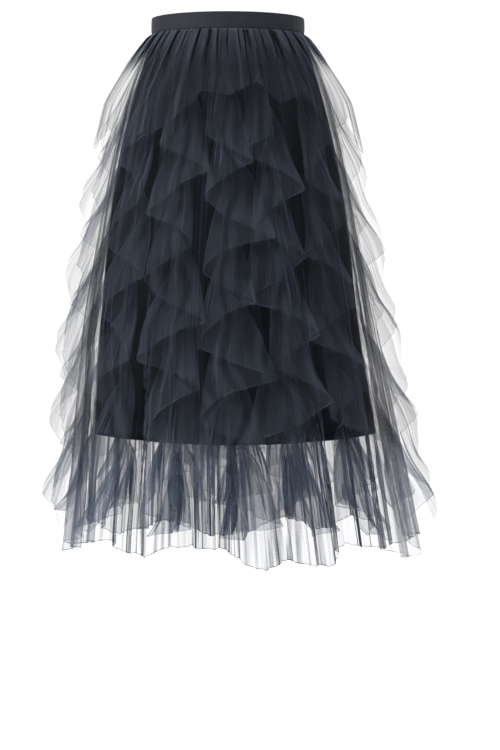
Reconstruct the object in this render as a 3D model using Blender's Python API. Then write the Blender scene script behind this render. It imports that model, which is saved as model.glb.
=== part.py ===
"""A gathered net midi skirt: a waistband, a knee-length lining, a long net skirt and rows of net frills.

Units are metres and +Z is up. The front of the skirt faces -Y and +X is to the right of someone
who looks at it. The origin is the middle of the waist, half way up the waistband.

Two measures place every piece. A drop is a distance below the origin. A share is a place round the
skirt: 0 at the middle of the front, 0.25 at +X, 0.5 at the middle of the back, -0.25 at -X.
"""

import math
from collections import namedtuple

import bmesh
import bpy
import numpy as np

# Cloth thicknesses and the gaps at seams
BAND_WALL = 0.0030
LINING_WALL = 0.0012
NET_WALL = 0.0010
SEAM_GAP = 0.0003
SEAM_FLAT = 0.0030
SIDE_SEAM = 0.25

# Waistband
BAND_HEIGHT = 0.025
BAND_WIDTH = 0.2360
BAND_DEPTH = 0.1724
BAND_COLUMNS = 64

# Lining
LINING_HEM = 0.635
LINING_SIDE_LIFT = 0.010
LINING_COLUMNS = 20

# Long net skirt
NET_FOLDS = 32
POINTS_PER_FOLD = 4
FOLD_ROUNDNESS = 1.4
NET_HEM = 0.788

# Short gathered frill under the waistband
TOP_FRILL_FOLDS = 64
TOP_FRILL_STAND = 0.0275
TOP_FRILL_FLARE = 0.105
TOP_FRILL_START = 0.0013
TOP_FRILL_FOLD = 0.0045
TOP_FRILL_ROWS = 3
TOP_FRILL_ROW_SPREAD = 1.2
TOP_FRILL_FLARE_CURVE = 0.8

# Waterfall frills
CASCADE_COUNT = 16
CASCADE_HANG = 0.110
CASCADE_GAP = 0.0008
CASCADE_STAND = 0.031
CASCADE_STAND_AT_TOP = 0.015
CASCADE_STAND_GROWS = 0.26
CASCADE_SWING = 0.42
CASCADE_SIDE_LOSS = 0.25
CASCADE_ROWS_PER_TURN = 6
CASCADE_ACROSS = (0.0, 0.45, 1.0)
CASCADE_STAND_CURVE = 1.1
WAVE_SLOPE = 5.5  # the steepest slope of a wave that is 1 long and swings 1 to each side

# Colours
BAND_COLOUR = (0.030, 0.036, 0.046)
LINING_COLOUR = (0.012, 0.014, 0.017)
NET_COLOUR = (0.040, 0.046, 0.062)

Wave = namedtuple("Wave", "height count start")
NET_HEM_WAVES = (Wave(0.011, 4, 0.15), Wave(0.009, 9, 0.40))
SWAY_WAVES = (Wave(0.5, 5, 0.10), Wave(0.5, 7, 0.60))

Section = namedtuple("Section", "drop net_width net_depth fold lining_width lining_depth sway lean")
SECTIONS = (  # half sizes, fold from crest to trough, swing out of the hem, swing of all to +X
    Section(0.0128, 0.1170, 0.0852, 0.0006, 0.1150, 0.0832, 0.0000, 0.0000),
    Section(0.0350, 0.1275, 0.0935, 0.0026, 0.1225, 0.0890, 0.0000, 0.0000),
    Section(0.0650, 0.1410, 0.1050, 0.0058, 0.1325, 0.0975, 0.0000, 0.0000),
    Section(0.1020, 0.1555, 0.1180, 0.0090, 0.1435, 0.1070, 0.0000, 0.0000),
    Section(0.1600, 0.1710, 0.1320, 0.0100, 0.1585, 0.1180, 0.0000, 0.0000),
    Section(0.2400, 0.1875, 0.1455, 0.0108, 0.1750, 0.1260, 0.0001, 0.0000),
    Section(0.3400, 0.2050, 0.1600, 0.0145, 0.1885, 0.1305, 0.0008, 0.0000),
    Section(0.4600, 0.2255, 0.1775, 0.0195, 0.2010, 0.1350, 0.0020, 0.0013),
    Section(0.6000, 0.2440, 0.1955, 0.0250, 0.2165, 0.1440, 0.0038, 0.0090),
    Section(0.8600, 0.2791, 0.2241, 0.0341, 0.2448, 0.1608, 0.0080, 0.0215),
)

HemPoint = namedtuple("HemPoint", "share drop")
TOP_FRILL_HEM = (  # the pointed lower edge of the short frill, all the way round
    HemPoint(-0.250, 0.187),
    HemPoint(-0.195, 0.150),
    HemPoint(-0.150, 0.196),
    HemPoint(-0.087, 0.166),
    HemPoint(-0.035, 0.113),
    HemPoint(0.005, 0.119),
    HemPoint(0.046, 0.098),
    HemPoint(0.076, 0.131),
    HemPoint(0.114, 0.114),
    HemPoint(0.155, 0.168),
    HemPoint(0.205, 0.142),
    HemPoint(0.250, 0.197),
    HemPoint(0.310, 0.150),
    HemPoint(0.365, 0.186),
    HemPoint(0.430, 0.140),
    HemPoint(0.500, 0.173),
    HemPoint(0.570, 0.135),
    HemPoint(0.640, 0.181),
    HemPoint(0.695, 0.145),
    HemPoint(0.750, 0.187),
)

Cascade = namedtuple("Cascade", "tip period start end")
CASCADES = (  # one waterfall frill each, from the middle of the front towards +X and round
    Cascade(0.321, 0.105, 0.058, 0.710),
    Cascade(0.360, 0.104, 0.066, 0.688),
    Cascade(0.293, 0.119, 0.055, 0.700),
    Cascade(0.458, 0.128, 0.060, 0.675),
    Cascade(0.327, 0.128, 0.056, 0.665),
    Cascade(0.636, 0.140, 0.064, 0.680),
    Cascade(0.312, 0.117, 0.058, 0.700),
    Cascade(0.371, 0.108, 0.067, 0.677),
    Cascade(0.329, 0.115, 0.057, 0.705),
    Cascade(0.288, 0.110, 0.063, 0.685),
    Cascade(0.352, 0.120, 0.055, 0.705),
    Cascade(0.308, 0.113, 0.066, 0.680),
    Cascade(0.371, 0.113, 0.058, 0.650),
    Cascade(0.187, 0.117, 0.064, 0.672),
    Cascade(0.379, 0.116, 0.056, 0.690),
    Cascade(0.338, 0.106, 0.062, 0.690),
)


def angle_table(width, depth, steps=720):
    """Angles of an ellipse, and the share of its edge that lies before each."""
    angles = np.linspace(0.0, math.tau, steps + 1)
    middles = (angles[1:] + angles[:-1]) / 2
    lengths = np.hypot(width * np.cos(middles), depth * np.sin(middles))
    before = np.concatenate([[0.0], np.cumsum(lengths)])
    return angles, before / before[-1]


ANGLES, SHARES = angle_table(SECTIONS[6].net_width, SECTIONS[6].net_depth)


def at_drop(column, drop):
    """One column of SECTIONS, read at a drop in straight runs between its rows."""
    drops = [section.drop for section in SECTIONS]
    return float(np.interp(drop, drops, [getattr(section, column) for section in SECTIONS]))


def eased(value):
    """0 below 0, 1 above 1, and a smooth rise between."""
    value = min(1.0, max(0.0, value))
    return value * value * (3 - 2 * value)


def perimeter(width, depth):
    """The edge of an ellipse with these half sizes, by Ramanujan's formula."""
    return math.pi * (3 * (width + depth) - math.sqrt((3 * width + depth) * (width + 3 * depth)))


def net_perimeter(drop):
    """The edge of the long net skirt's oval at a drop."""
    return perimeter(at_drop("net_width", drop), at_drop("net_depth", drop))


def around(share, drop, width, depth, out):
    """The point at a share of the way round an oval, moved out from it along its normal."""
    angle = float(np.interp(share % 1.0, SHARES, ANGLES))
    across, forward = math.sin(angle), -math.cos(angle)
    normal_x, normal_y = across / width, forward / depth
    length = math.hypot(normal_x, normal_y)
    return (
        width * across + out * normal_x / length + at_drop("lean", drop),
        depth * forward + out * normal_y / length,
        -drop,
    )


def wave_sum(waves, share):
    """The height at a share of these waves added up, each of which goes round a whole count of times."""
    return sum(wave.height * math.sin(math.tau * (wave.count * share + wave.start)) for wave in waves)


def sway(share, drop):
    """How far the long net skirt swings out past its oval, which is more towards the hem."""
    return at_drop("sway", drop) * (1 + wave_sum(SWAY_WAVES, share))


def net_point(share, drop, out):
    """A point near the long net skirt: out is 0 on the crests of its folds and grows outwards."""
    width, depth = at_drop("net_width", drop), at_drop("net_depth", drop)
    return around(share, drop, width, depth, out + sway(share, drop))


def fold_depth(share, folds):
    """0 on a crest of the folds and 1 in a trough, with round crests and narrower troughs."""
    return ((1 - math.cos(math.tau * folds * share)) / 2) ** FOLD_ROUNDNESS


def net_hem(share):
    """The drop of the long net skirt's hem, which is cut in uneven points."""
    return NET_HEM + wave_sum(NET_HEM_WAVES, share)


def top_frill_hem(share):
    """The drop of the short frill's lower edge."""
    share = (share + SIDE_SEAM) % 1.0 - SIDE_SEAM
    shares = [point.share for point in TOP_FRILL_HEM]
    return float(np.interp(share, shares, [point.drop for point in TOP_FRILL_HEM]))


def material(name, colour, roughness):
    """A plain cloth material of this colour."""
    made = bpy.data.materials.new(name)
    made.use_nodes = True
    shader = made.node_tree.nodes["Principled BSDF"]
    shader.inputs["Base Color"].default_value = (*colour, 1.0)
    shader.inputs["Roughness"].default_value = roughness
    shader.inputs["Metallic"].default_value = 0.0
    return made


def finished(name, mesh, cloth):
    """Turns a finished bmesh into an object of this cloth in the scene."""
    data = bpy.data.meshes.new(name)
    mesh.to_mesh(data)
    mesh.free()
    data.materials.append(cloth)
    data.shade_smooth()
    made = bpy.data.objects.new(name, data)
    bpy.context.scene.collection.objects.link(made)
    return made


def grid_object(name, columns, rows, place, cloth):
    """A sheet of columns x rows quads, with the point at each grid corner given by place(i, j)."""
    mesh = bmesh.new()
    bmesh.ops.create_grid(mesh, x_segments=columns, y_segments=rows, size=0.5)
    for vertex in mesh.verts:
        i = round((vertex.co.x + 0.5) * columns)
        j = round((0.5 - vertex.co.y) * rows)
        vertex.co = place(i, j)
    return finished(name, mesh, cloth)


def wall_object(name, columns, rows, place, cloth):
    """A closed wall, both of whose sides are cut into the same triangles: place(i, j, k) gives
    its corners, with k 0 on one side and 1 on the other."""
    mesh = bmesh.new()
    bmesh.ops.create_grid(mesh, x_segments=columns, y_segments=rows, size=0.5)
    bmesh.ops.triangulate(mesh, faces=mesh.faces[:], quad_method="ALTERNATE")
    moved = bmesh.ops.extrude_face_region(mesh, geom=mesh.faces[:])["geom"]
    far_side = [item for item in moved if isinstance(item, bmesh.types.BMVert)]
    bmesh.ops.translate(mesh, vec=(0.0, 0.0, 1.0), verts=far_side)
    bmesh.ops.recalc_face_normals(mesh, faces=mesh.faces)
    for vertex in mesh.verts:
        i = round((0.5 - vertex.co.x) * columns)
        j = round((0.5 - vertex.co.y) * rows)
        vertex.co = place(i, j, round(vertex.co.z))
    return finished(name, mesh, cloth)


def thicken(sheet, wall, offset):
    """Gives a sheet its wall: offset -1 adds it behind the faces, and 0 half on each side."""
    solid = sheet.modifiers.new("wall", "SOLIDIFY")
    solid.thickness = wall
    solid.offset = offset
    solid.use_even_offset = True
    return sheet


def panel_shares(i, folds, first, edge):
    """Where column i of a half-round panel lies: its fold's share and its own share.

    The panel has folds + 2 columns. The first and the last are flat and narrow, so that the two
    panels meet squarely at the side seams with half a seam gap each. edge is the oval's length.
    """
    fold_share = first + 0.5 * min(max(i - 1, 0), folds) / folds
    inset = {0: SEAM_GAP / 2, 1: SEAM_FLAT, folds + 1: -SEAM_FLAT, folds + 2: -SEAM_GAP / 2}
    return fold_share, fold_share + inset.get(i, 0.0) / edge


def build_waistband(cloth):
    """The band: an oval ring, turned by sweeping its outer edge and giving it a wall."""
    mesh = bmesh.new()
    bmesh.ops.create_circle(mesh, segments=BAND_COLUMNS, radius=1.0)
    for vertex in mesh.verts:
        vertex.co.x *= BAND_WIDTH / 2
        vertex.co.y *= BAND_DEPTH / 2
        vertex.co.z = -BAND_HEIGHT / 2
    swept = bmesh.ops.extrude_edge_only(mesh, edges=mesh.edges[:])
    top = [item for item in swept["geom"] if isinstance(item, bmesh.types.BMVert)]
    bmesh.ops.translate(mesh, vec=(0.0, 0.0, BAND_HEIGHT), verts=top)
    bmesh.ops.recalc_face_normals(mesh, faces=mesh.faces)
    return thicken(finished("waistband", mesh, cloth), BAND_WALL, -1.0)


def build_lining(name, first, cloth):
    """One panel of the lining, whose hem lifts a little towards the side seams."""
    drops = [section.drop for section in SECTIONS[:-1]]

    def place(i, j):
        whole_share = panel_shares(i, LINING_COLUMNS, first, 1.0)[0]
        side = math.sin(math.tau * whole_share) ** 2
        drop = (drops + [LINING_HEM - LINING_SIDE_LIFT * side])[j]
        width, depth = at_drop("lining_width", drop), at_drop("lining_depth", drop)
        share = panel_shares(i, LINING_COLUMNS, first, perimeter(width, depth))[1]
        return around(share, drop, width, depth, 0.0)

    sheet = grid_object(name, LINING_COLUMNS + 2, len(drops), place, cloth)
    return thicken(sheet, LINING_WALL, -1.0)


def build_net(name, first, cloth):
    """One panel of the long net skirt, gathered into folds that deepen towards the hem."""
    columns = NET_FOLDS * POINTS_PER_FOLD // 2
    drops = [section.drop for section in SECTIONS[:-1]]

    def place(i, j):
        fold_share = panel_shares(i, columns, first, 1.0)[0]
        drop = (drops + [net_hem(fold_share)])[j]
        fold = at_drop("fold", drop) * fold_depth(fold_share, NET_FOLDS)
        share = panel_shares(i, columns, first, net_perimeter(drop))[1]
        return net_point(share, drop, -fold)

    return thicken(grid_object(name, columns + 2, len(drops), place, cloth), NET_WALL, -1.0)


def build_top_frill(name, first, cloth):
    """One panel of the short frill, which is gathered under the waistband and flares over the net."""
    columns = TOP_FRILL_FOLDS

    def place(i, j):
        fold_share = panel_shares(i, columns, first, 1.0)[0]
        top = SECTIONS[0].drop
        drop = top + (top_frill_hem(fold_share) - top) * (j / TOP_FRILL_ROWS) ** TOP_FRILL_ROW_SPREAD
        flare = min(1.0, (drop - top) / TOP_FRILL_FLARE)
        out = TOP_FRILL_START + TOP_FRILL_STAND * flare**TOP_FRILL_FLARE_CURVE
        crest = min(max(i - 1, 0), columns) % 2 == 0
        out += TOP_FRILL_FOLD * flare * (0.5 if crest else -0.5)
        share = panel_shares(i, columns, first, net_perimeter(drop))[1]
        return net_point(share, drop, out)

    return thicken(grid_object(name, columns + 2, TOP_FRILL_ROWS, place, cloth), NET_WALL, 0.0)


def build_cascade(number, row, cloth):
    """One waterfall frill: a strip sewn down the net along a line, whose free edge swings to each
    side in turn and stands away from the net, each turn lying over the one below it.

    At any height the strip reaches further out all the way from its seam to its free edge. So its
    wall is made by moving it sideways, which cannot cross it, by as much as the slope asks for.
    """
    share = number / CASCADE_COUNT
    swing = CASCADE_SWING * (1 - CASCADE_SIDE_LOSS * math.sin(math.tau * share) ** 2) / CASCADE_COUNT
    step = row.period / CASCADE_ROWS_PER_TURN
    first_row = math.ceil((row.start + CASCADE_HANG - row.tip) / step)
    last_row = math.floor((row.end + CASCADE_HANG - row.tip) / step)

    def place(i, j, side_of_wall):
        seam_drop = row.tip - CASCADE_HANG + (first_row + j) * step
        across = CASCADE_ACROSS[i]
        drop = seam_drop + across * CASCADE_HANG
        grown = eased((drop - row.start) / CASCADE_STAND_GROWS)
        stand = CASCADE_STAND_AT_TOP + (CASCADE_STAND - CASCADE_STAND_AT_TOP) * grown
        turn = math.tau * (first_row + j) / CASCADE_ROWS_PER_TURN
        edge = net_perimeter(drop)
        slope = WAVE_SLOPE * swing * edge / stand * CASCADE_HANG / row.period
        wall = NET_WALL * math.hypot(1.0, slope * (0.5 + across / 2)) / edge
        side = across * swing * math.cos(turn) + (side_of_wall - 0.5) * wall
        return net_point(share + side, drop, CASCADE_GAP + stand * across**CASCADE_STAND_CURVE)

    name = f"cascade_{number + 1:02d}"
    return wall_object(name, len(CASCADE_ACROSS) - 1, last_row - first_row, place, cloth)


def main():
    """Builds the skirt's pieces and hangs them on one empty."""
    for old in list(bpy.data.objects):
        bpy.data.objects.remove(old)
    band_cloth = material("waistband_satin", BAND_COLOUR, 0.45)
    lining_cloth = material("lining_crepe", LINING_COLOUR, 0.75)
    net_cloth = material("net", NET_COLOUR, 0.80)
    pieces = [
        build_waistband(band_cloth),
        build_lining("lining_front", -SIDE_SEAM, lining_cloth),
        build_lining("lining_back", SIDE_SEAM, lining_cloth),
        build_net("net_front", -SIDE_SEAM, net_cloth),
        build_net("net_back", SIDE_SEAM, net_cloth),
        build_top_frill("top_frill_front", -SIDE_SEAM, net_cloth),
        build_top_frill("top_frill_back", SIDE_SEAM, net_cloth),
    ]
    pieces += [build_cascade(number, row, net_cloth) for number, row in enumerate(CASCADES)]
    skirt = bpy.data.objects.new("skirt", None)
    bpy.context.scene.collection.objects.link(skirt)
    for piece in pieces:
        piece.parent = skirt


main()
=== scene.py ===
"""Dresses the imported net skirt: fine gathered net over a dark lining, with waterfall frills.

Units are metres and +Z is up. The skirt's front faces -Y and its origin is the middle of the
waist, half way up the waistband. Two measures place every piece. A drop is a distance below the
origin. A share is a place round the skirt: 0 at the middle of the front, 0.25 at +X, 0.5 at the
middle of the back and 0.75 at -X.
"""

import logging
import math
from dataclasses import dataclass, field
from enum import Enum
from typing import Callable

import bmesh
import bpy
import numpy as np
from bpy.types import Material, Mesh, Node, NodeSocket, NodeTree, Object
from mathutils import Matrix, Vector

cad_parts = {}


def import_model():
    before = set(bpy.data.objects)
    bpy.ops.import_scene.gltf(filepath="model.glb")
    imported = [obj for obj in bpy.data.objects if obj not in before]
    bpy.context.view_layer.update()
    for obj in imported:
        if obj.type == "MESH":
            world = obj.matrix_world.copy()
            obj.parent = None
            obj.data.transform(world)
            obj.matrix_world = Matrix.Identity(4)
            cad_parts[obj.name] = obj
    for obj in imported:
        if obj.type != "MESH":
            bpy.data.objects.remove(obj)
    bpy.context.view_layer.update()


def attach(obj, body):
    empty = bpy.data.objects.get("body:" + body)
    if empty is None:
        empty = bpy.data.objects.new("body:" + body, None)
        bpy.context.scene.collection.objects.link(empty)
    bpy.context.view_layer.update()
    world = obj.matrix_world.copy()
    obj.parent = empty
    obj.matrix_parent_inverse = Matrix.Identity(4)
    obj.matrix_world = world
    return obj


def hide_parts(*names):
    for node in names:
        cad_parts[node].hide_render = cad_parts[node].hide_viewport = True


LOG = logging.getLogger("skirt")
Array = np.ndarray
ROOT_BODY = "root"
CLOTH_TOP = 0.0128  # The drop where the cloth comes out from under the waistband.


class RawEdge(Enum):
    """The sides of a sheet's grid where its cut edge shows."""

    START = "start"
    END = "end"
    BOTTOM = "bottom"


@dataclass(frozen=True)
class Laid:
    """How a sheet lies.

    Args:
        points: Its points, one row of x, y and z each.
        painted_shade: How much shade is painted on the cloth at each point, from 0 to 1, most deep in a
            fold.
        layers: How many layers of cloth lie close together there.
        pressed: How many more lie in its narrow pressed folds.
    """

    points: Array
    painted_shade: Array | float = 0.0
    layers: Array | float = 1.0
    pressed: Array | float = 0.0


Placer = Callable[[Array, Array], Laid]


@dataclass(frozen=True)
class Section:
    """One level of the skirt: half sizes, fold depth, how far it swings out and lies to +X."""

    drop: float
    net_width: float
    net_depth: float
    fold: float
    lining_width: float
    lining_depth: float
    sway: float = 0.0
    lean: float = 0.0


SECTIONS = (
    Section(0.0128, 0.1170, 0.0852, 0.0006, 0.1150, 0.0832),
    Section(0.0350, 0.1275, 0.0935, 0.0026, 0.1225, 0.0890),
    Section(0.0650, 0.1410, 0.1050, 0.0058, 0.1325, 0.0975),
    Section(0.1020, 0.1555, 0.1180, 0.0090, 0.1435, 0.1070),
    Section(0.1600, 0.1710, 0.1320, 0.0100, 0.1585, 0.1180),
    Section(0.2400, 0.1875, 0.1455, 0.0108, 0.1750, 0.1260, 0.0001, 0.0000),
    Section(0.3400, 0.2050, 0.1600, 0.0145, 0.1885, 0.1305, 0.0008, 0.0000),
    Section(0.4600, 0.2255, 0.1775, 0.0195, 0.2010, 0.1350, 0.0020, 0.0013),
    Section(0.6000, 0.2440, 0.1955, 0.0250, 0.2165, 0.1440, 0.0038, 0.0090),
    Section(0.8600, 0.2791, 0.2241, 0.0341, 0.2448, 0.1608, 0.0080, 0.0215),
)


def eased(value: Array) -> Array:
    """0 below 0, 1 above 1, and a smooth rise between."""
    value = np.clip(value, 0.0, 1.0)
    return value * value * (3 - 2 * value)


@dataclass(frozen=True)
class Rise:
    """A smooth rise from 0 to 1.

    Args:
        start: The drop where it starts.
        length: How much further down it ends.
    """

    start: float
    length: float

    def at(self, drop: Array) -> Array:
        """The rise at each drop."""
        return eased((drop - self.start) / self.length)


def wander(place: Array, rate: float, seed: float) -> Array:
    """An uneven wave from about -1 to 1 that repeats after each whole turn of place.

    Args:
        place: Where along the wave, 1 for a whole turn.
        rate: About how many waves there are in a turn.
        seed: Picks one such wave out of many.

    Returns:
        The height of the wave at each place.
    """
    slow = np.sin(math.tau * (round(rate) * place + 0.37 * seed))
    middle = np.sin(math.tau * (round(rate * 1.6 + 1) * place + 0.71 * seed + 0.2))
    fast = np.sin(math.tau * (round(rate * 2.3 + 2) * place + 0.53 * seed + 0.6))
    return (slow + 0.8 * middle + 0.6 * fast) / 1.9


def pointed(turn: Array, point: float = 0.985) -> Array:
    """A cosine drawn out to points: straight runs between tips, with a little rounding at the tips.

    Args:
        turn: The angle of the wave.
        point: How sharp the tips are, below 1.

    Returns:
        The height of the wave, from -1 to 1.
    """
    return np.arcsin(point * np.cos(turn)) / math.asin(point)


@dataclass(frozen=True)
class SkirtForm:
    """The ovals that the skirt's layers follow, and how the long net swings out of them.

    Args:
        sections: The levels, from the waist down.
        share_section: The level whose oval sets where each share lies.
        turns: How many steps the table of shares has.
    """

    sections: tuple[Section, ...] = SECTIONS
    share_section: int = 6
    turns: int = 2880

    def at(self, column: str, drop: Array) -> Array:
        """Reads one column of the sections at a drop, on a smooth curve through its levels.

        Args:
            column: The name of the column.
            drop: The drops to read it at.

        Returns:
            The column's value at each drop.
        """
        levels = np.array([section.drop for section in self.sections])
        values = np.array([getattr(section, column) for section in self.sections])
        slopes = np.gradient(values, levels)
        drop = np.clip(drop, levels[0], levels[-1])
        index = np.clip(np.searchsorted(levels, drop) - 1, 0, len(levels) - 2)
        span = levels[index + 1] - levels[index]
        t = (drop - levels[index]) / span
        start = (1 + 2 * t) * (1 - t) ** 2 * values[index] + t * (1 - t) ** 2 * span * slopes[index]
        end = t * t * (3 - 2 * t) * values[index + 1] - t * t * (1 - t) * span * slopes[index + 1]
        return start + end

    def angle(self, share: Array) -> Array:
        """The oval's own angle at a share of its length, 0 at the middle of the front."""
        level = self.sections[self.share_section]
        angles = np.linspace(0.0, math.tau, self.turns + 1)
        middles = (angles[1:] + angles[:-1]) / 2
        lengths = np.hypot(level.net_width * np.cos(middles), level.net_depth * np.sin(middles))
        before = np.concatenate([[0.0], np.cumsum(lengths)])
        return np.interp(share % 1.0, before / before[-1], angles)

    def around(self, share: Array, drop: Array, width: Array, depth: Array, out: Array) -> Array:
        """Points round an oval, moved out from it along its normal.

        Args:
            share: Where round the skirt.
            drop: How far below the origin.
            width: The oval's half width.
            depth: The oval's half depth.
            out: How far out from the oval.

        Returns:
            The points, one row of x, y and z each.
        """
        angle = self.angle(share)
        across, forward = np.sin(angle), -np.cos(angle)
        normal_x, normal_y = across / width, forward / depth
        length = np.hypot(normal_x, normal_y)
        x = width * across + out * normal_x / length + self.at("lean", drop)
        y = depth * forward + out * normal_y / length
        return np.stack([x, y, -drop], axis=1)

    def net(self, share: Array, drop: Array, out: Array) -> Array:
        """Points near the long net skirt: out is 0 on the crests of its folds."""
        waves = 2 + np.sin(math.tau * (5 * share + 0.1)) + np.sin(math.tau * (7 * share + 0.6))
        sway = self.at("sway", drop) * waves / 2
        width, depth = self.at("net_width", drop), self.at("net_depth", drop)
        return self.around(share, drop, width, depth, out + sway)


FORM = SkirtForm()


@dataclass(frozen=True)
class NodeBench:
    """Adds shader nodes to one tree, so that a finish reads as a list of steps."""

    tree: NodeTree

    def add(self, kind: str, **settings: object) -> Node:
        """Adds a node of this kind with these properties set."""
        node = self.tree.nodes.new(kind)
        for name, value in settings.items():
            setattr(node, name, value)
        return node

    def feed(self, value: object, socket: NodeSocket) -> None:
        """Links a socket to another, or sets it where value is a number or a colour."""
        if isinstance(value, NodeSocket):
            self.tree.links.new(value, socket)
        else:
            socket.default_value = value

    def attribute(self, name: str) -> NodeSocket:
        """One of the numbers that a sheet keeps at its points."""
        return self.add("ShaderNodeAttribute", attribute_name=name).outputs["Fac"]

    def cloth(self) -> NodeSocket:
        """The place on the flat cloth, in metres."""
        return self.add("ShaderNodeUVMap", uv_map="cloth").outputs["UV"]

    def math(self, operation: str, first: object, second: object = 0.0) -> NodeSocket:
        """The result of a Math node on two values or sockets."""
        node = self.add("ShaderNodeMath", operation=operation)
        self.feed(first, node.inputs[0])
        self.feed(second, node.inputs[1])
        return node.outputs[0]

    def ramp(self, value: object, low: float, high: float, at_low: float, at_high: float) -> NodeSocket:
        """A value mapped smoothly from low..high to at_low..at_high."""
        node = self.add("ShaderNodeMapRange", interpolation_type="SMOOTHSTEP")
        for socket, number in zip(node.inputs[:5], (value, low, high, at_low, at_high)):
            self.feed(number, socket)
        return node.outputs[0]

    def noise(self, vector: NodeSocket, scale: float, detail: float) -> NodeSocket:
        """A noise texture's value on these coordinates."""
        node = self.add("ShaderNodeTexNoise")
        self.feed(vector, node.inputs["Vector"])
        node.inputs["Scale"].default_value = scale
        node.inputs["Detail"].default_value = detail
        return node.outputs["Fac"]

    def bump(self, height: NodeSocket, distance: float, strength: float) -> NodeSocket:
        """A normal raised by this height."""
        node = self.add("ShaderNodeBump")
        self.feed(height, node.inputs["Height"])
        node.inputs["Distance"].default_value = distance
        node.inputs["Strength"].default_value = strength
        return node.outputs["Normal"]

    def mix_colours(self, mask: NodeSocket, low: object, high: object) -> NodeSocket:
        """A colour from low to high, each a socket or red, green and blue, as mask goes from 0 to 1."""
        node = self.add("ShaderNodeMix", data_type="RGBA", clamp_factor=True)
        sockets = [socket for socket in node.inputs if socket.type == "RGBA"]
        for colour, socket in zip((low, high), sockets):
            self.feed((*colour, 1.0) if isinstance(colour, tuple) else colour, socket)
        self.feed(mask, node.inputs[0])
        return [socket for socket in node.outputs if socket.type == "RGBA"][0]


def hexagon_net_group() -> NodeTree:
    """The shared group that draws the threads of a hexagonal net.

    Returns:
        A group that reads a place on the cloth in metres and how many holes a metre has, and
        gives 1 on a thread and 0 in a hole.
    """
    made = bpy.data.node_groups.get("hexagon_net")
    if made:
        return made
    made = bpy.data.node_groups.new("hexagon_net", "ShaderNodeTree")
    made.interface.new_socket("Place", in_out="INPUT", socket_type="NodeSocketVector")
    made.interface.new_socket("Holes per Metre", in_out="INPUT", socket_type="NodeSocketFloat")
    made.interface.new_socket("Thread", in_out="OUTPUT", socket_type="NodeSocketFloat")
    bench = NodeBench(made)
    ends = bench.add("NodeGroupInput")
    waves = []
    for turn in range(3):
        direction = Vector((math.cos(turn * math.tau / 3), math.sin(turn * math.tau / 3), 0.0))
        dot = bench.add("ShaderNodeVectorMath", operation="DOT_PRODUCT")
        bench.feed(ends.outputs["Place"], dot.inputs[0])
        dot.inputs[1].default_value = direction * math.tau
        turned = bench.math("MULTIPLY", dot.outputs["Value"], ends.outputs["Holes per Metre"])
        waves.append(bench.math("COSINE", turned))
    total = bench.math("ADD", bench.math("ADD", waves[0], waves[1]), waves[2])
    thread = bench.ramp(total, -1.0, 0.0, 1.0, 0.0)
    bench.feed(thread, bench.add("NodeGroupOutput").inputs["Thread"])
    return made


class Finish:
    """One material on a Principled shader, which each kind of finish dresses in its own way."""

    name: str
    roughness: float
    specular: float

    def dress(self, bench: NodeBench, shader: Node) -> None:
        """Feeds the shader what is this finish's own."""
        raise NotImplementedError

    def material(self) -> Material:
        """Builds the material."""
        made = bpy.data.materials.new(self.name)
        made.use_nodes = True
        shader = made.node_tree.nodes["Principled BSDF"]
        shader.inputs["Roughness"].default_value = self.roughness
        shader.inputs["Specular IOR Level"].default_value = self.specular
        self.dress(NodeBench(made.node_tree), shader)
        return made


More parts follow.
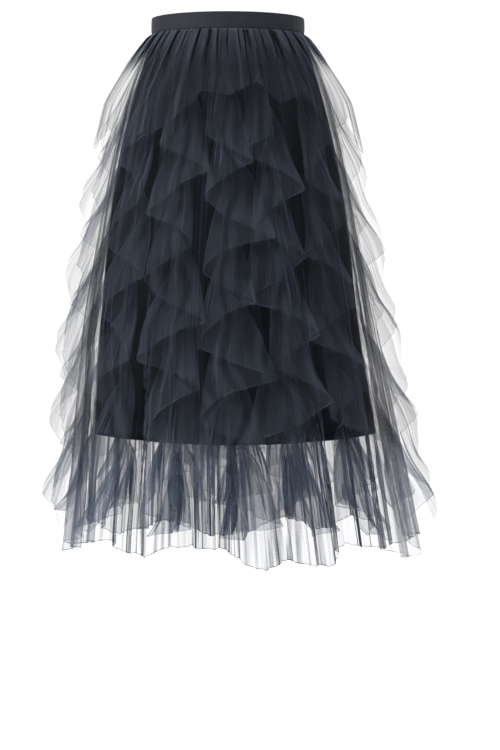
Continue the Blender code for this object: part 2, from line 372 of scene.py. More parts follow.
@dataclass(frozen=True)
class NetFinish(Finish):
    """See-through net: how much of the view one layer covers, and the colour of its threads.

    Args:
        thread_colour: The colour of the threads where they catch the light.
        painted_shade_colour: The painted shade deep in its folds.
        folds_per_metre: How many pressed folds there are to a metre, across the net and down it.
        painted_through_light_colour: The painted colour of light coming through it: at a slant, and below
            the lining.
        hole_cover: How much a hole covers, seen straight on, and thread_cover how much a thread.
        average_cover: Where their average lies, 0 at a hole's and 1 at a thread's.
        edge_cover: How much more the cut edge covers, over a width of edge_width.
        grain: How unevenly layers that lie close cover, as a share.
        many_layers: How many layers count as close.
        least_slant: The most slanting view that adds to what a layer covers.
        lining_hem: The height below which light coming through the net is painted on it.
    """

    name: str
    thread_colour: tuple[float, float, float]
    painted_shade_colour: tuple[float, float, float]
    folds_per_metre: tuple[float, float]
    painted_through_light_colour: tuple[float, float, float] = (0.046, 0.060, 0.094)
    hole_cover: float = 0.12
    thread_cover: float = 0.23
    average_cover: float = 0.45
    edge_cover: float = 0.42
    edge_width: float = 0.0018
    holes_per_metre: float = 720.0
    grain: float = 0.2
    many_layers: float = 4.0
    least_slant: float = 0.20
    lining_hem: float = -0.62
    roughness: float = 0.8
    specular: float = 0.10

    def layers(self, bench: NodeBench, cloth: NodeSocket) -> NodeSocket:
        """How many layers of cloth lie together, with those of the narrow pressed folds."""
        stretched = bench.add("ShaderNodeVectorMath", operation="MULTIPLY")
        bench.feed(cloth, stretched.inputs[0])
        stretched.inputs[1].default_value = (*self.folds_per_metre, 0.0)
        fold = bench.ramp(bench.noise(stretched.outputs["Vector"], 1.0, 2.0), 0.46, 0.66, 0.0, 1.0)
        pressed = bench.math("MULTIPLY", bench.attribute("pressed"), fold)
        return bench.math("ADD", bench.attribute("layers"), pressed)

    def cover(self, bench: NodeBench, cloth: NodeSocket, layers: NodeSocket) -> NodeSocket:
        """How much one layer covers, from 0 to 1. Where many lie together, their meshes even out."""
        net = bench.add("ShaderNodeGroup")
        net.node_tree = hexagon_net_group()
        bench.feed(cloth, net.inputs["Place"])
        net.inputs["Holes per Metre"].default_value = self.holes_per_metre
        drawn = bench.ramp(net.outputs["Thread"], 0.0, 1.0, self.hole_cover, self.thread_cover)
        average = self.hole_cover + self.average_cover * (self.thread_cover - self.hole_cover)
        apart = bench.ramp(layers, 1.0, self.many_layers, 1.0, 0.25)
        uneven = bench.math("MULTIPLY", bench.math("SUBTRACT", drawn, average), apart)
        grains = bench.noise(cloth, 0.7 * self.holes_per_metre, 1.0)
        speckle = bench.ramp(grains, 0.35, 0.65, -self.grain, self.grain)
        close = bench.ramp(layers, 1.0, self.many_layers, 0.15, 1.0)
        speckle = bench.math("ADD", 1.0, bench.math("MULTIPLY", speckle, close))
        return bench.math("MULTIPLY", bench.math("ADD", average, uneven), speckle)

    def colour(self, bench: NodeBench, cloth: NodeSocket, facing: NodeSocket) -> NodeSocket:
        """The net's colour: painted shade deep in its folds, random darker patches, and painted bluer light
        where light comes through it.
        """
        patches = bench.ramp(bench.noise(cloth, 14.0, 2.0), 0.35, 0.65, 0.0, 0.3)
        # Painted shade: the net goes darker deep in its folds, plus random darker patches.
        shade = bench.math("ADD", bench.attribute("painted_shade"), patches)
        # Painted light: bluer where light comes through the net, seen at a slant and below the lining's
        # hem.
        height = bench.add("ShaderNodeSeparateXYZ")
        bench.feed(bench.add("ShaderNodeTexCoord").outputs["Object"], height.inputs[0])
        below = bench.ramp(height.outputs["Z"], self.lining_hem - 0.05, self.lining_hem, 0.7, 0.0)
        painted_through_light = bench.math("MAXIMUM", below, bench.ramp(facing, 0.65, 0.92, 0.0, 0.9))
        body = bench.mix_colours(shade, self.thread_colour, self.painted_shade_colour)
        return bench.mix_colours(painted_through_light, body, self.painted_through_light_colour)

    def dress(self, bench: NodeBench, shader: Node) -> None:
        """Covers more where layers lie together or the net is seen at a slant."""
        cloth = bench.cloth()
        layers = self.layers(bench, cloth)
        rim = bench.ramp(
            bench.attribute("edge"), 0.4 * self.edge_width, self.edge_width, self.edge_cover, 0.0
        )
        facing = bench.add("ShaderNodeLayerWeight").outputs["Facing"]
        slant = bench.math("MAXIMUM", bench.math("SUBTRACT", 1.0, facing), self.least_slant)
        cover = bench.math("ADD", self.cover(bench, cloth, layers), bench.math("MULTIPLY", rim, slant))
        clear = bench.math("POWER", bench.math("SUBTRACT", 1.0, cover), bench.math("DIVIDE", layers, slant))
        bench.feed(bench.math("SUBTRACT", 1.0, clear), shader.inputs["Alpha"])
        bench.feed(self.colour(bench, cloth, facing), shader.inputs["Base Color"])


@dataclass(frozen=True)
class CrepeFinish(Finish):
    """The opaque, matt lining cloth, with a fine plain weave and soft, paler patches."""

    name: str
    colour: tuple[float, float, float] = (0.0045, 0.0052, 0.0060)
    worn_colour: tuple[float, float, float] = (0.0065, 0.0074, 0.0084)
    threads_per_metre: float = 2400.0
    relief: float = 0.0001
    roughness: float = 0.85
    specular: float = 0.08

    def dress(self, bench: NodeBench, shader: Node) -> None:
        """Weaves two crossed waves, and lays soft patches in the colour."""
        cloth = bench.cloth()
        parts = bench.add("ShaderNodeSeparateXYZ")
        bench.feed(cloth, parts.inputs[0])
        crossed = []
        for axis in ("X", "Y"):
            turned = bench.math("MULTIPLY", parts.outputs[axis], math.tau * self.threads_per_metre / 2)
            crossed.append(bench.math("SINE", turned))
        weave = bench.math("MULTIPLY", crossed[0], crossed[1])
        bench.feed(bench.bump(weave, self.relief, 0.35), shader.inputs["Normal"])
        patches = bench.ramp(bench.noise(cloth, 9.0, 3.0), 0.35, 0.7, 0.0, 1.0)
        bench.feed(bench.mix_colours(patches, self.colour, self.worn_colour), shader.inputs["Base Color"])


@dataclass(frozen=True)
class BandFinish(Finish):
    """The smooth elastic band: close ribs round it and a soft sheen."""

    name: str
    colour: tuple[float, float, float] = (0.006, 0.008, 0.012)
    rib_colour: tuple[float, float, float] = (0.011, 0.014, 0.020)
    ribs_per_metre: float = 1500.0
    relief: float = 0.00015
    roughness: float = 0.55
    specular: float = 0.14

    def dress(self, bench: NodeBench, shader: Node) -> None:
        """Lays ribs across the band's height, and a fine cross thread."""
        cloth = bench.cloth()
        parts = bench.add("ShaderNodeSeparateXYZ")
        bench.feed(cloth, parts.inputs[0])
        rate = math.tau * self.ribs_per_metre
        ribs = bench.math("SINE", bench.math("MULTIPLY", parts.outputs["Y"], rate))
        cross = bench.math("SINE", bench.math("MULTIPLY", parts.outputs["X"], 0.6 * rate))
        height = bench.math("ADD", ribs, bench.math("MULTIPLY", cross, 0.4))
        bench.feed(bench.bump(height, self.relief, 0.4), shader.inputs["Normal"])
        mask = bench.ramp(bench.math("ADD", ribs, bench.noise(cloth, 30.0, 2.0)), -0.5, 1.5, 0.0, 1.0)
        bench.feed(bench.mix_colours(mask, self.colour, self.rib_colour), shader.inputs["Base Color"])


@dataclass(frozen=True)
class FloorFinish(Finish):
    """The pale studio floor."""

    name: str
    colour: tuple[float, float, float] = (0.93, 0.93, 0.935)
    roughness: float = 0.9
    specular: float = 0.5

    def dress(self, bench: NodeBench, shader: Node) -> None:
        """Lays the faintest unevenness in the colour."""
        place = bench.add("ShaderNodeTexCoord").outputs["Object"]
        mask = bench.noise(place, 3.0, 2.0)
        darker = tuple(0.985 * part for part in self.colour)
        bench.feed(bench.mix_colours(mask, self.colour, darker), shader.inputs["Base Color"])


@dataclass
class Sheet:
    """One sheet of cloth, made from a flat grid that a place function shapes.

    Args:
        name: The object's name.
        columns: Quads across the grid.
        rows: Quads down the grid.
        raw_edges: The sides where the cut edge shows.
    """

    name: str
    columns: int
    rows: int
    raw_edges: tuple[RawEdge, ...] = ()

    def build(self, place: Placer, finish: Material) -> Object:
        """Makes the sheet and lays its cloth coordinates on it.

        Args:
            place: Says how the cloth lies at places across and down the grid, each from 0 to 1.
            finish: The sheet's material.

        Returns:
            The sheet's object, at the origin.
        """
        shape = bmesh.new()
        shape.loops.layers.uv.new("cloth")
        bmesh.ops.create_grid(
            shape, x_segments=self.columns, y_segments=self.rows, size=0.5, calc_uvs=True
        )
        mesh = bpy.data.meshes.new(self.name)
        shape.to_mesh(mesh)
        shape.free()
        flat = np.empty(len(mesh.vertices) * 3)
        mesh.vertices.foreach_get("co", flat)
        flat = flat.reshape(-1, 3)
        column = np.rint((flat[:, 0] + 0.5) * self.columns).astype(int)
        row = np.rint((0.5 - flat[:, 1]) * self.rows).astype(int)
        laid = place(column / self.columns, row / self.rows)
        points = laid.points
        mesh.vertices.foreach_set("co", points.ravel())
        for name, value in (("painted_shade", laid.painted_shade), ("layers", laid.layers), ("pressed", laid.pressed)):
            values = np.full(len(points), value, dtype=float)
            mesh.attributes.new(name, "FLOAT", "POINT").data.foreach_set("value", values)
        self._lay_cloth(mesh, points, column, row)
        mesh.materials.append(finish)
        mesh.shade_smooth()
        mesh.update()
        made = bpy.data.objects.new(self.name, mesh)
        bpy.context.scene.collection.objects.link(made)
        return made

    def _lay_cloth(self, mesh: Mesh, points: Array, column: Array, row: Array) -> None:
        """Writes each corner's place on the flat cloth, in metres, and its distance from an edge.

        Args:
            mesh: The sheet's mesh.
            points: Its points.
            column: Each point's column.
            row: Each point's row.
        """
        grid = np.empty((self.rows + 1, self.columns + 1, 3))
        grid[row, column] = points
        steps_across = np.linalg.norm(np.diff(grid, axis=1), axis=2).mean(axis=0)
        steps_down = np.linalg.norm(np.diff(grid, axis=0), axis=2).mean(axis=1)
        across = np.concatenate([[0.0], np.cumsum(steps_across)])
        down = np.concatenate([[0.0], np.cumsum(steps_down)])
        corner = np.empty(len(mesh.loops), dtype=int)
        mesh.loops.foreach_get("vertex_index", corner)
        cloth = np.stack([across[column[corner]], down[-1] - down[row[corner]]], axis=1)
        mesh.uv_layers["cloth"].data.foreach_set("uv", cloth.ravel())
        distances = {
            RawEdge.START: across[column],
            RawEdge.END: across[-1] - across[column],
            RawEdge.BOTTOM: down[-1] - down[row],
        }
        nearest = np.full(len(points), 1.0)
        for side in self.raw_edges:
            nearest = np.minimum(nearest, distances[side])
        mesh.attributes.new("edge", "FLOAT", "POINT").data.foreach_set("value", nearest)
        LOG.info("%s: cloth %.2f x %.2f m, area %.3f m2", self.name, across[-1], down[-1],
                 across[-1] * down[-1])


def settle(piece: Object, slot: str, *nodes: str) -> None:
    """Puts a finished piece in the frame: it rides on the body and replaces nodes.

    Args:
        piece: The finished piece.
        slot: The record's material slot for the piece's finish; not used.
        nodes: The solids that it stands for.
    """
    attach(piece, ROOT_BODY)
    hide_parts(*nodes)
    LOG.info("%s is in place", piece.name)


class Half(Enum):
    """The two panels of a layer, with the share where each starts."""

    FRONT = -0.25
    BACK = 0.25


@dataclass
class Waistband:
    """The elastic band: an oval ring with soft edges."""

    half_width: float = 0.1180
    half_depth: float = 0.0862
    height: float = 0.025
    wall: float = 0.0030
    bulge: float = 0.0006
    ripple: float = 0.0003
    seam_reach: float = 0.00005
    rim_part: float = 0.35
    rim_angle: float = 50.0
    columns: int = 320
    rows: int = 14
    finish: BandFinish = field(default_factory=lambda: BandFinish("waistband_satin"))

    def build(self) -> Object:
        """Makes the band's outer face, closes its seam and gives it a wall with rounded rims.

        Returns:
            The band's object.
        """

        def place(across: Array, down: Array) -> Laid:
            share = across - 0.5
            drop = self.height * (down - 0.5)
            out = self.bulge * (np.cos(math.pi * (down - 0.5)) - 1)
            out += self.ripple * wander(share, 23, 1.0) * np.sin(math.pi * down)
            angle = FORM.angle(share)
            width, depth = self.half_width + out, self.half_depth + out
            return Laid(np.stack([width * np.sin(angle), -depth * np.cos(angle), -drop], axis=1))

        band = Sheet("waistband_visual", self.columns, self.rows).build(place, self.finish.material())
        shape = bmesh.new()
        shape.from_mesh(band.data)
        bmesh.ops.remove_doubles(shape, verts=shape.verts, dist=self.seam_reach)
        shape.to_mesh(band.data)
        shape.free()
        wall = band.modifiers.new("wall", "SOLIDIFY")
        wall.thickness = self.wall
        wall.offset = -1.0
        rim = band.modifiers.new("rim", "BEVEL")
        rim.width = self.wall * self.rim_part
        rim.segments = 3
        rim.limit_method = "ANGLE"
        rim.angle_limit = math.radians(self.rim_angle)
        settle(band, "waistband_satin", "waistband")
        return band


@dataclass
class Lining:
    """The knee-length opaque underskirt, in two panels, which hangs in a few soft folds."""

    hem: float = 0.635
    side_lift: float = 0.010
    wall: float = 0.0008
    fold: float = 0.0035
    folding: Rise = Rise(0.12, 0.4)
    columns: int = 110
    rows: int = 60
    finish: CrepeFinish = field(default_factory=lambda: CrepeFinish("lining_crepe"))

    def build(self, half: Half, material: Material) -> Object:
        """Makes one panel.

        Args:
            half: Which panel.
            material: The lining's material.

        Returns:
            The panel's object.
        """

        def place(across: Array, down: Array) -> Laid:
            share = half.value + 0.5 * across
            lowest = self.hem - self.side_lift * np.sin(math.tau * share) ** 2
            drop = CLOTH_TOP + (lowest - CLOTH_TOP) * down
            width, depth = FORM.at("lining_width", drop), FORM.at("lining_depth", drop)
            out = -self.fold * self.folding.at(drop) * (1 + wander(share, 9, 4.0)) / 2
            return Laid(FORM.around(share, drop, width, depth, out))

        name = f"lining_{half.name.lower()}_visual"
        panel = Sheet(name, self.columns, self.rows).build(place, material)
        wall = panel.modifiers.new("wall", "SOLIDIFY")
        wall.thickness = self.wall
        wall.offset = -1.0
        settle(panel, "lining_crepe", f"lining_{half.name.lower()}")
        return panel

    def build_all(self) -> None:
        """Makes both panels."""
        material = self.finish.material()
        for half in Half:
            self.build(half, material)


CutEdge = tuple[tuple[float, float], ...]


def edge_drop(points: CutEdge, share: Array, rounded: bool) -> Array:
    """The drop of a cut edge that runs round the skirt.

    Args:
        points: The share and drop of each of its points, from the share -0.25 to 0.75.
        share: Where to read it.
        rounded: Whether the edge is rounded at its points rather than straight between them.

    Returns:
        The drop at each share.
    """
    share = (share + 0.25) % 1.0 - 0.25
    shares, drops = np.array(points).T
    after = np.clip(np.searchsorted(shares, share, side="right"), 1, len(points) - 1)
    part = (share - shares[after - 1]) / (shares[after] - shares[after - 1])
    part = eased(part) if rounded else part
    return drops[after - 1] + (drops[after] - drops[after - 1]) * part


LONG_HEM: CutEdge = (
    (-0.250, 0.793), (-0.225, 0.803), (-0.152, 0.778), (-0.100, 0.797), (-0.065, 0.779),
    (-0.021, 0.781), (0.021, 0.812), (0.046, 0.800), (0.085, 0.809), (0.112, 0.780),
    (0.150, 0.788), (0.210, 0.811), (0.250, 0.782), (0.305, 0.808), (0.365, 0.768),
    (0.410, 0.795), (0.445, 0.775), (0.495, 0.801), (0.530, 0.809), (0.575, 0.780),
    (0.640, 0.798), (0.690, 0.770), (0.750, 0.793),
)


@dataclass
class GatheredNet:
    """A layer of net in two panels that are gathered under the waistband.

    Args:
        label: The start of its pieces' names.
        flat: A panel's width and length when it lies flat, and area its area; neither is used.
        crowding: How much closer its rows of points lie near the band, from 1 on.
        edge: The points of its lower edge, rounded or not, and ragged how uneven it is cut.
    """

    label: str
    flat: tuple[float, float]
    area: float
    crowding: float
    edge: CutEdge
    rounded: bool
    ragged: float
    columns: int
    rows: int

    def hem_drop(self, share: Array) -> Array:
        """The drop of the lower edge."""
        return edge_drop(self.edge, share, self.rounded) + self.ragged * wander(share, 61, 2.0)

    def laid(self, share: Array, drop: Array) -> Laid:
        """How the net lies at each share and drop."""
        raise NotImplementedError

    def build(self, half: Half, material: Material) -> Object:
        """Makes one panel.

        Args:
            half: Which panel.
            material: The net's material.

        Returns:
            The panel's object.
        """

        def place(across: Array, down: Array) -> Laid:
            share = half.value + 0.5 * across
            return self.laid(share, CLOTH_TOP + (self.hem_drop(share) - CLOTH_TOP) * down**self.crowding)

        name = f"{self.label}_{half.name.lower()}"
        panel = Sheet(f"{name}_visual", self.columns, self.rows, (RawEdge.BOTTOM,)).build(place, material)
        settle(panel, "net", name)
        return panel

    def build_all(self, material: Material) -> None:
        """Makes both panels."""
        for half in Half:
            self.build(half, material)


@dataclass
class LongNet(GatheredNet):
    """The long net skirt, with folds that open to a hem of rounded lobes.

    Its large folds are the solid's. Fine folds lie on them, close together in bunches with nearly
    flat cloth between, more so towards the hem. Each fine fold doubles back under its neighbours.

    Args:
        roundness: How narrow the hollows of its large folds are.
        fine_part: The fine folds' share of the depth.
        bunching: How closely they draw into bunches.
        overlap: How far a fine fold doubles back: from 1 on it lies over itself. Shares of it are
            lost at the sides (side_loss), low between bunches (low_loss) and at the hem (hem_loss).
        fold_lean: How far the folds lean round the skirt on the way down, as a share.
        low_fullness: How many more layers lie together low down, and side_fullness at the sides.
        side_pressed: How many more layers the pressed folds hold at the sides, and bunch_pressed
            in the bunches, more at the hem by hem_pressed.
        low_side_loss: The share of what comes low down that is lost at the sides.
    """

    label: str = "net"
    flat: tuple[float, float] = (1.90, 0.80)
    area: float = 0.90
    crowding: float = 1.0
    edge: CutEdge = LONG_HEM
    rounded: bool = True
    ragged: float = 0.0016
    columns: int = 1200
    rows: int = 44
    folds: int = 32
    roundness: float = 1.4
    fine_folds: int = 76
    fine_part: float = 0.30
    bunches: int = 18
    bunching: float = 0.72
    overlap: float = 3.4
    side_loss: float = 0.65
    low_loss: float = 0.80
    hem_loss: float = 0.55
    fold_lean: float = 0.045
    gather: float = 0.0016
    low_fullness: float = 0.45
    side_fullness: float = -0.50
    side_pressed: float = 2.2
    bunch_pressed: float = 3.8
    hem_pressed: float = 0.9
    low_side_loss: float = 0.75
    hem: float = 0.788
    gathered: Rise = Rise(0.03, 0.12)
    drawn_together: Rise = Rise(0.02, 0.45)
    drifted: Rise = Rise(0.05, 0.5)
    leaning: Rise = Rise(0.35, 0.45)
    filled: Rise = Rise(0.45, 0.25)
    parted: Rise = Rise(0.50, 0.15)
    opened: Rise = Rise(0.68, 0.08)
    darkened: Rise = Rise(0.69, 0.05)

    def source(self, share: Array, drop: Array) -> Array:
        """The share from which a fold at this share and drop leans down."""
        return share + self.fold_lean * wander(share, 4, 1.3) * self.leaning.at(drop)

    def bunch_angle(self, source: Array) -> Array:
        """The angle of the wave that is 1 in the middle of a bunch of folds and -1 between two."""
        return math.tau * self.bunches * source + 1.2 * wander(source, 3, 5.9) + 4.6

    def folded(self, share: Array, drop: Array) -> tuple[Array, Array, Array]:
        """Where the folds take a point of the net.

        Args:
            share: The point's place round the skirt.
            drop: Its drop.

        Returns:
            How far it moves round the skirt, as a share, how far out from the crests, and the shade painted
            on it deep in a fold.
        """
        drift = 0.14 * wander(share, 7, 1.0) * self.drifted.at(drop)
        main = ((1 - np.cos(math.tau * (self.folds * share + drift))) / 2) ** self.roundness
        bunch = self.bunching * self.drawn_together.at(drop)
        source = self.source(share, drop)
        angle = self.bunch_angle(source)
        turn = math.tau * self.fine_folds * (source + bunch * np.sin(angle) / (math.tau * self.bunches))
        turn = turn + 2.4 * wander(source, 19, 7.0) + 1.2 * wander(source, 53, 3.0)
        rate = math.tau * self.fine_folds * (1 + bunch * np.cos(angle))
        front = 1 - self.side_loss * np.sin(math.tau * share) ** 2
        uneven = (1 + 0.75 * wander(share, 41, 9.0)) * front
        overlap = self.overlap * uneven * (0.55 + 0.45 * np.cos(angle) * bunch / self.bunching)
        overlap = overlap * (1 - self.low_loss * self.parted.at(drop) * (1 - np.cos(angle)) / 2)
        overlap = overlap * (1 - self.hem_loss * self.opened.at(drop))
        fine = (1 - np.cos(turn)) / 2
        gathers = self.gather * (1 - self.gathered.at(drop)) * fine
        depth = FORM.at("fold", drop)
        out = -depth * ((1 - self.fine_part) * main + self.fine_part * uneven * fine) - gathers
        # The last value is painted shade: darker deep in the main and fine folds.
        return overlap * np.sin(2 * turn) / (2 * rate), out, 0.5 * main + 0.5 * fine

    def laid(self, share: Array, drop: Array) -> Laid:
        """How the net lies.

        Args:
            share: Each point's place round the skirt.
            drop: Its drop.

        Returns:
            The folded net, which hides more in its bunches and less at the sides.
        """
        side, out, painted_shade = self.folded(share, drop)
        low, sideways = self.filled.at(drop), np.sin(math.tau * share) ** 2
        bunched = (1 + np.cos(self.bunch_angle(self.source(share, drop)))) / 2
        forward = 1 - self.low_side_loss * sideways**3
        layers = 1 + self.low_fullness * low * forward + self.side_fullness * sideways * (1 - 0.5 * low)
        lowest = 1 + self.hem_pressed * self.darkened.at(drop)
        pressed = self.side_pressed * sideways * (1 - 0.85 * low)
        pressed = pressed + self.bunch_pressed * low * lowest * (0.05 + 0.95 * bunched) * forward
        return Laid(FORM.net(share + side, drop, out), painted_shade, layers, pressed)


TOP_FRILL_HEM: CutEdge = (
    (-0.250, 0.187), (-0.195, 0.150), (-0.150, 0.196), (-0.087, 0.166), (-0.035, 0.113),
    (0.005, 0.119), (0.046, 0.098), (0.076, 0.131), (0.114, 0.114), (0.155, 0.168),
    (0.205, 0.142), (0.250, 0.197), (0.310, 0.150), (0.365, 0.186), (0.430, 0.140),
    (0.500, 0.173), (0.570, 0.135), (0.640, 0.181), (0.695, 0.145), (0.750, 0.187),
)


@dataclass
class TopFrill(GatheredNet):
    """The short frill that flares over the long net to a pointed edge.

    Args:
        pinch: How far each gather draws the cloth together.
        fullness: How many more layers lie together under the band, and side_fullness at the sides.
        stand: How far its edge stands off the long net, after a drop of flare, and start its top.
        side_calm: The share of the folds' depth that is lost at the sides.
        pressed: How many more layers the pressed folds hold in the gathers.
    """

    label: str = "top_frill"
    flat: tuple[float, float] = (0.90, 0.18)
    area: float = 0.10
    crowding: float = 1.2
    edge: CutEdge = TOP_FRILL_HEM
    rounded: bool = False
    ragged: float = 0.0
    columns: int = 1100
    rows: int = 30
    folds: int = 32
    gathers: int = 64
    gather: float = 0.0060
    pinch: float = 0.75
    fullness: float = 2.6
    side_fullness: float = -0.45
    stand: float = 0.0275
    flare: float = 0.105
    start: float = 0.0013
    fold: float = 0.0050
    side_calm: float = 0.6
    shade: float = 0.25
    pressed: float = 1.2
    drawn_in: Rise = Rise(0.011, 0.008)
    opened: Rise = Rise(0.026, 0.045)
    thinned: Rise = Rise(0.015, 0.06)
    shaded: Rise = Rise(0.02, 0.04)

    def laid(self, share: Array, drop: Array) -> Laid:
        """How the gathered frill lies: close, deep slits under the band that run out lower down.

        Args:
            share: Each point's place round the skirt.
            drop: Its drop.

        Returns:
            The gathered frill.
        """
        flare = np.minimum(1.0, (drop - CLOTH_TOP) / self.flare)
        uneven = 1 + 0.5 * wander(share, 17, 6.0)
        start = self.opened.start * (1 + 0.8 * wander(share, 43, 8.0))
        opened = eased((drop - start) / self.opened.length)
        gathered = uneven * self.drawn_in.at(drop) * (1 - opened)
        turn = math.tau * self.gathers * share + 3.0 * wander(share, 13, 3.0) * (1 + 0.3 * opened)
        turn = turn + 1.1 * wander(share, 41, 5.0)
        slit = ((1 - np.cos(turn)) / 2) ** 3
        wide = np.cos(math.tau * (self.folds * share + 0.45 * wander(share, 9, 2.0)))
        sideways = np.sin(math.tau * share) ** 2
        calm = 1 - self.side_calm * sideways
        folds = self.fold * flare * calm * (wide + 0.5 * wander(share, 27, 4.0))
        out = self.start + self.stand * flare**0.8 + folds - self.gather * gathered * (slit - 0.4)
        side = gathered * self.pinch * np.sin(turn) / (math.tau * self.gathers)
        # Painted shade: darker in the slits of the gathers, and in uneven patches from a little below the
        # waistband down.
        shadow = self.shade * (1 - wander(share, 43, 1.0)) * self.shaded.at(drop)
        painted_shade = np.clip(gathered * (0.2 + 1.8 * slit) + shadow, 0.0, 1.0)
        layers = 1 + self.fullness * (1 - self.thinned.at(drop)) + self.side_fullness * sideways * opened
        return Laid(FORM.net(share + side, drop, out), painted_shade, layers, self.pressed * (1 - opened))


@dataclass(frozen=True)
class CascadeCut:
    """Where one waterfall frill's turns fall: a tip, their distance, and the seam's two ends."""

    tip: float
    period: float
    start: float
    end: float


CASCADES = (
    CascadeCut(0.321, 0.105, 0.058, 0.710),
    CascadeCut(0.360, 0.104, 0.066, 0.688),
    CascadeCut(0.293, 0.119, 0.055, 0.700),
    CascadeCut(0.458, 0.128, 0.060, 0.675),
    CascadeCut(0.327, 0.128, 0.056, 0.665),
    CascadeCut(0.636, 0.140, 0.064, 0.680),
    CascadeCut(0.312, 0.117, 0.058, 0.700),
    CascadeCut(0.371, 0.108, 0.067, 0.677),
    CascadeCut(0.329, 0.115, 0.057, 0.705),
    CascadeCut(0.288, 0.110, 0.063, 0.685),
    CascadeCut(0.352, 0.120, 0.055, 0.705),
    CascadeCut(0.308, 0.113, 0.066, 0.680),
    CascadeCut(0.371, 0.113, 0.058, 0.650),
    CascadeCut(0.187, 0.117, 0.064, 0.672),
    CascadeCut(0.379, 0.116, 0.056, 0.690),
    CascadeCut(0.338, 0.106, 0.062, 0.690),
)


@dataclass
class Cascade:
    """A waterfall frill: sewn down the net by one edge, its free edge swings from side to side.

    The seam runs straight down. The cloth hangs from it and reaches further out all the way to
    the free edge, so that each turn lies over the one below.

    Args:
        hang: How wide the cloth is, from the seam to the free edge.
        stand: How far off the net the free edge is, from stand_at_top on, after stand_grows.
        swing: How far the free edge swings, in the frills' distances, less at the skirt's sides
            by side_loss. The cloth follows sooner the smaller spread is.
        proud: By what share the turns stand further off than the hollows.
        overlap: How far a crease doubles back. There are creases of them to a creased_length.
        side_calm: The share of the unevenness that is lost at the sides.
        low_fullness: How many more layers lie together low down, and side_fullness at the sides.
        low_pressed: How many the pressed folds hold low down, and seam_pressed at the seam.
        hem_room: How far above the net's hem the frill ends, and hem_easing how softly.
        taper: How long the lower end is where the swing lessens.
    """

    number: int
    cut: CascadeCut
    hang: float = 0.110
    gap: float = 0.0008
    stand: float = 0.031
    stand_at_top: float = 0.015
    stand_grows: float = 0.26
    swing: float = 0.57
    spread: float = 0.32
    side_loss: float = 0.20
    proud: float = 0.22
    tip_sag: float = 0.004
    crease: float = 0.0022
    creases: int = 36
    creased_length: float = 0.65
    overlap: float = 2.0
    side_calm: float = 0.85
    roll: float = 0.0022
    furrow: float = 0.0024
    furrows: int = 43
    seam_drift: float = 0.005
    shading: float = 0.65
    low_fullness: float = 0.45
    side_fullness: float = -0.50
    low_pressed: float = 1.5
    seam_pressed: float = 1.2
    hem_room: float = 0.018
    hem_easing: float = 0.05
    taper: float = 0.14
    filled: Rise = Rise(0.50, 0.12)
    columns: int = 16
    rows: int = 440

    @property
    def share(self) -> float:
        """Where round the skirt its seam is."""
        return self.number / len(CASCADES)

    @property
    def seed(self) -> float:
        """Picks this frill's own unevenness."""
        return 1.7 * self.number

    def turned(self, seam: Array) -> Array:
        """The angle of the free edge's swing at each drop of the seam."""
        turn = math.tau * (seam + self.hang - self.cut.tip) / self.cut.period
        return turn + 0.40 * wander(seam, 4, self.seed) + 0.15 * np.sin(turn + self.seed)

    def dropped(self, across: Array, seam: Array, swung: Array) -> Array:
        """How far down the cloth hangs.

        Args:
            across: How far from the seam towards the free edge, from 0 to 1.
            seam: The drop of the seam that the cloth hangs from.
            swung: How far the free edge swings there, from -1 to 1.

        Returns:
            The drops, none lower than the room above the hem allows.
        """
        drop = seam + across * self.hang * (1 + 0.04 * wander(seam, 5, self.seed + 5))
        drop = drop + self.tip_sag * across * swung**2
        lowest = LongNet.hem - self.hem_room
        start = lowest - self.hem_easing
        slowed = lowest - self.hem_easing * np.exp((start - drop) / self.hem_easing)
        return np.where(drop > start, slowed, drop)

    def laid(self, across: Array, down: Array) -> Laid:
        """How the frill lies.

        Args:
            across: How far from the seam towards the free edge, from 0 to 1.
            down: How far down the seam, from 0 to 1.

        Returns:
            The frill as it swings, creased, rolled and furrowed.
        """
        cut, seed = self.cut, self.seed
        sideways = math.sin(math.tau * self.share) ** 2
        swing = self.swing * (1 - self.side_loss * sideways) / len(CASCADES)
        calm = 1 - self.side_calm * sideways**2
        seam = cut.start + (cut.end - cut.start) * down
        turn = self.turned(seam)
        swung = pointed(turn)
        drop = self.dropped(across, seam, swung)
        grown = Rise(cut.start, self.stand_grows).at(drop)
        stand = self.stand_at_top + (self.stand - self.stand_at_top) * grown
        stand = stand * (1 + self.proud * np.cos(math.tau * (drop - cut.tip) / cut.period))
        low = self.filled.at(seam)
        rate = math.tau * self.creases / self.creased_length
        creasing = rate * seam + 2.6 * wander(seam, 17, seed + 7)
        uneven = 1 + 0.8 * wander(seam, 31, seed + 11)
        bunched = calm * uneven * (6.75 * across * (1 - across) ** 2 + 0.25 * low * across)
        rolled = calm * self.roll * across * wander(seam, 27, seed + 9)
        creased = self.crease * bunched * np.cos(creasing) + rolled
        reach = 1 + 0.34 * wander(seam, 5, seed + 3)
        narrowed = 1 - 0.30 * eased((seam - cut.end + self.taper) / self.taper)
        side = across**self.spread * swing * reach * narrowed * swung
        swing_rate = -across * swing * math.tau / cut.period * np.sin(turn)
        doubled = self.overlap * bunched * (1 + 0.8 * low)
        side = side + doubled * swing_rate * np.sin(2 * creasing) / (2 * rate)
        place_round = self.share + self.seam_drift * wander(seam, 2, seed + 13) + side
        furrowed = wander(place_round + 0.012 * wander(drop, 3, seed), self.furrows, seed + 2)
        out = self.gap + stand * across**1.1 + creased + calm * self.furrow * across * furrowed
        # Painted shade: darker near the seam and in the furrows' troughs.
        painted_shade = 0.9 * (1 - across) ** 1.5 + self.shading * (1 - furrowed) / 2
        layers = 1 + calm * (self.low_fullness * low + 0.5 * (1 - across) ** 2)
        layers = layers + self.side_fullness * sideways * (1 - 0.3 * low)
        pressed = calm * self.low_pressed * low * (1 - 0.5 * across)
        pressed = pressed + self.seam_pressed * (1 - across) ** 2
        return Laid(FORM.net(place_round, drop, out), np.clip(painted_shade, 0.0, 1.0), layers, pressed)

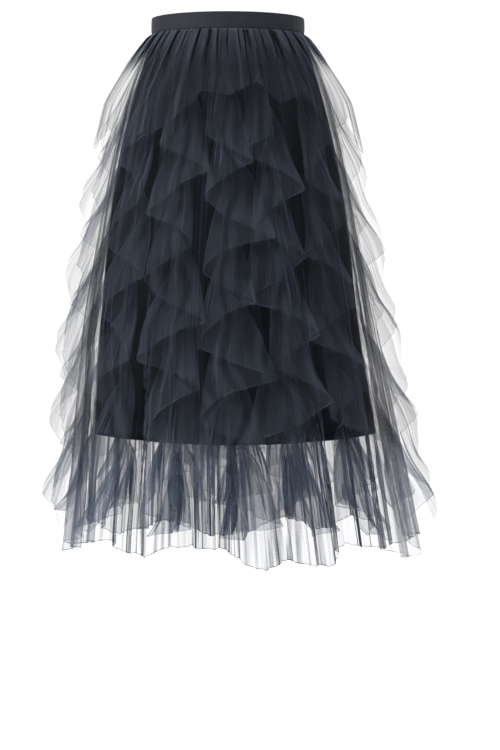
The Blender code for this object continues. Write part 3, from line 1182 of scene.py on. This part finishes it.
    def build(self, material: Material) -> Object:
        """Makes the frill.

        Args:
            material: The net's material.

        Returns:
            The frill's object.
        """
        name = f"cascade_{self.number + 1:02d}"
        edges = (RawEdge.START, RawEdge.END, RawEdge.BOTTOM)
        frill = Sheet(f"{name}_visual", self.columns, self.rows, edges).build(self.laid, material)
        settle(frill, "net", name)
        return frill


@dataclass
class Studio:
    """The pale floor, the soft light and the camera."""

    floor_height: float = -1.085
    floor_size: float = 40.0
    camera_place: tuple[float, float, float] = (0.034, -3.10, -0.435)
    camera_tilt: float = 1.86
    focal_pixels: float = 2003.0
    photo_height: float = 750.0
    sensor: float = 36.0
    sky_strength: float = 1.10
    net_layers_seen: int = 64

    def build_floor(self) -> None:
        """Makes the floor."""
        shape = bmesh.new()
        bmesh.ops.create_grid(shape, x_segments=4, y_segments=4, size=self.floor_size / 2)
        bmesh.ops.translate(shape, vec=(0.0, 0.0, self.floor_height), verts=shape.verts)
        mesh = bpy.data.meshes.new("floor")
        shape.to_mesh(mesh)
        shape.free()
        mesh.materials.append(FloorFinish("studio_floor").material())
        floor = bpy.data.objects.new("floor", mesh)
        bpy.context.scene.collection.objects.link(floor)

    def add_light(self, name: str, place: tuple, size: float, power: float) -> None:
        """Adds a square soft light that points at the middle of the skirt."""
        lamp = bpy.data.lights.new(name, "AREA")
        lamp.shape = "SQUARE"
        lamp.size = size
        lamp.energy = power
        made = bpy.data.objects.new(name, lamp)
        made.location = place
        made.rotation_mode = "QUATERNION"
        made.rotation_quaternion = (Vector((0.0, 0.0, -0.4)) - Vector(place)).to_track_quat("-Z", "Y")
        bpy.context.scene.collection.objects.link(made)

    def build_light(self) -> None:
        """Makes the white surroundings and the soft lights."""
        world = bpy.data.worlds.new("studio")
        bpy.context.scene.world = world
        world.use_nodes = True
        sky = world.node_tree.nodes["Background"]
        sky.inputs["Color"].default_value = (1.0, 1.0, 1.0, 1.0)
        sky.inputs["Strength"].default_value = self.sky_strength
        self.add_light("key", (-3.2, -2.6, 1.2), 1.6, 190.0)
        self.add_light("fill", (2.6, -2.8, 0.6), 2.2, 8.0)
        self.add_light("top", (0.0, 0.0, 3.2), 4.0, 60.0)

    def build_camera(self) -> None:
        """Makes the camera where the photographer stood."""
        lens = bpy.data.cameras.new("camera")
        lens.sensor_width = self.sensor
        lens.lens = self.focal_pixels * self.sensor / self.photo_height
        camera = bpy.data.objects.new("camera", lens)
        camera.location = self.camera_place
        camera.rotation_euler = (math.radians(90.0 - self.camera_tilt), 0.0, 0.0)
        bpy.context.scene.collection.objects.link(camera)
        bpy.context.scene.camera = camera

    def build_all(self) -> None:
        """Makes the whole studio and sets how see-through layers and colours are shown."""
        self.build_floor()
        self.build_light()
        self.build_camera()
        scene = bpy.context.scene
        scene.view_settings.view_transform = "Standard"
        scene.cycles.transparent_max_bounces = self.net_layers_seen


def main() -> None:
    """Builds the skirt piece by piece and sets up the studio."""
    logging.basicConfig(level=logging.INFO, format="%(name)s: %(message)s")
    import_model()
    # The long net's threads are a darker copy of the frills' net: painted shade for its place in the shadow
    # between the frills.
    skirt_net_painted_shade = NetFinish(
        "skirt_net_painted_shade", (0.017, 0.022, 0.032), (0.007, 0.009, 0.013), (110.0, 4.0), grain=0.15
    )
    # The short frill's threads are a darker copy too: painted shade for its dense, self-shadowed gathers.
    short_net_painted_shade = NetFinish("short_net_painted_shade", (0.043, 0.050, 0.069), (0.004, 0.005, 0.007), (160.0, 5.0))
    frill_net = NetFinish("frill_net", (0.054, 0.064, 0.087), (0.010, 0.013, 0.018), (5.0, 230.0))
    Lining().build_all()
    LongNet().build_all(skirt_net_painted_shade.material())
    TopFrill().build_all(short_net_painted_shade.material())
    frill_material = frill_net.material()
    for number, cut in enumerate(CASCADES):
        Cascade(number, cut).build(frill_material)
    Waistband().build()
    Studio().build_all()
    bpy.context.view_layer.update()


if __name__ == "__main__":
    main()
